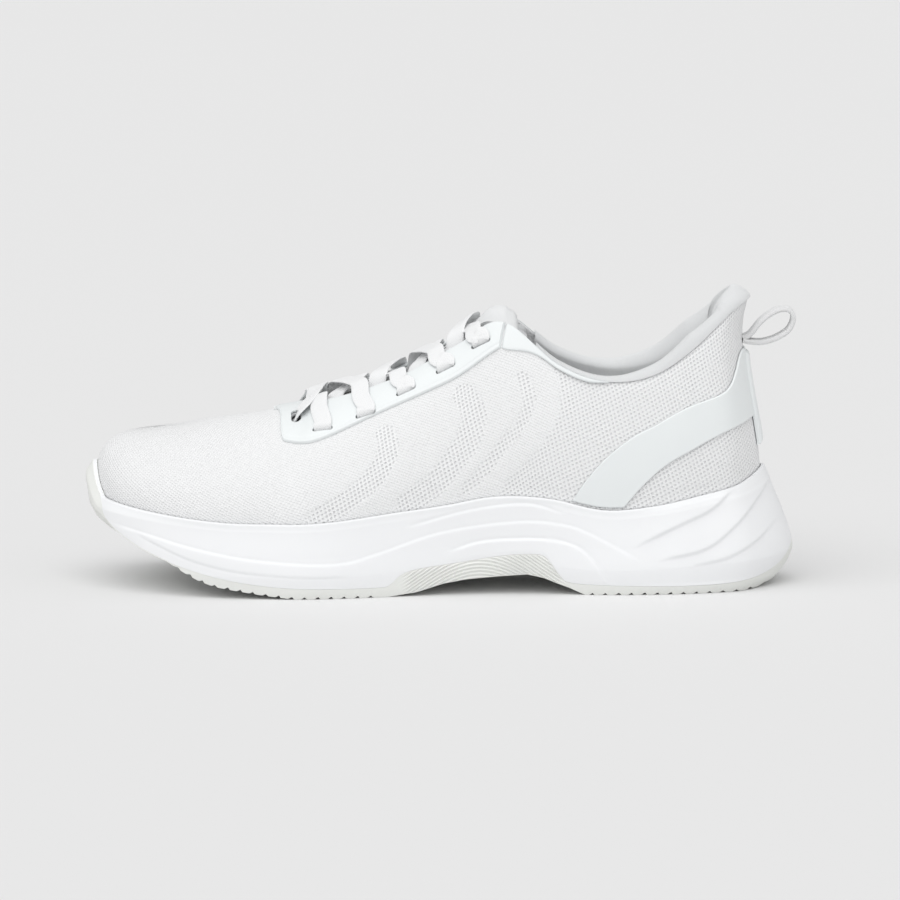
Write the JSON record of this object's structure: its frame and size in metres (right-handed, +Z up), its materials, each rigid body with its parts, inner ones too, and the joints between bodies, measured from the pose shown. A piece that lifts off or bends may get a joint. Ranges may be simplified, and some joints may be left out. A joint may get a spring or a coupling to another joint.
{
  "type": "running shoe",
  "caption": "Low knit running shoe for a left foot: cushioned sole, laced throat with tongue, flared padded collar, heel straps and a webbing pull loop.",
  "frame": {"origin": "centre of the bounding box in plan, on the ground", "axes": "+X from the toe to the heel, +Y to the inner side of a left foot, +Z up"},
  "size_m": [0.3001, 0.1078, 0.1264],
  "materials": {
    "outsole_rubber": "matt moulded rubber, slightly creamy white",
    "midsole_foam": "smooth moulded foam skin, clean white",
    "board": "non-woven board",
    "sockliner_fabric": "brushed textile over foam",
    "knit": "engineered knit, white",
    "stiffener": "thermoplastic sheet",
    "lining_fabric": "fine brushed lining, white",
    "padding_foam": "open cell foam",
    "overlay_film": "smooth satin synthetic, cool white",
    "webbing": "ribbed woven tape, white",
    "tongue_fabric": "smooth textile, white",
    "lace_fabric": "flat tubular woven lace, white"
  },
  "bodies": {
    "shoe": {"outsole": "outsole_rubber", "midsole": "midsole_foam", "strobel_board": "board", "sockliner": "sockliner_fabric", "knit_upper": "knit", "heel_counter": "stiffener", "toe_puff": "stiffener", "vamp_lining": "lining_fabric", "collar_lining": "lining_fabric", "collar_foam": "padding_foam", "collar_binding_lateral": "overlay_film", "collar_binding_medial": "overlay_film", "lace_facing": "overlay_film", "eyelet_backer_lateral": "stiffener", "eyelet_backer_medial": "stiffener", "heel_strap_lateral": "overlay_film", "heel_strap_medial": "overlay_film", "heel_back_strip": "overlay_film", "lace": "lace_fabric"},
    "tongue": {"tongue_face": "tongue_fabric", "tongue_foam": "padding_foam", "tongue_lining": "lining_fabric"},
    "pull_loop": {"pull_loop": "webbing"}
  },
  "joints": [
    {"name": "tongue_hinge", "type": "hinge", "parent": "shoe", "child": "tongue", "pos_m": [-0.0893, 0, 0.061], "axis": [0, 1, 0], "range_deg": [0, 8], "stiffness_Nm_per_rad": 0.15},
    {"name": "pull_loop_hinge", "type": "hinge", "parent": "shoe", "child": "pull_loop", "pos_m": [0.1314, 0, 0.1036], "axis": [0, 1, 0], "range_deg": [-10, 35], "stiffness_Nm_per_rad": 0.01}
  ]
}
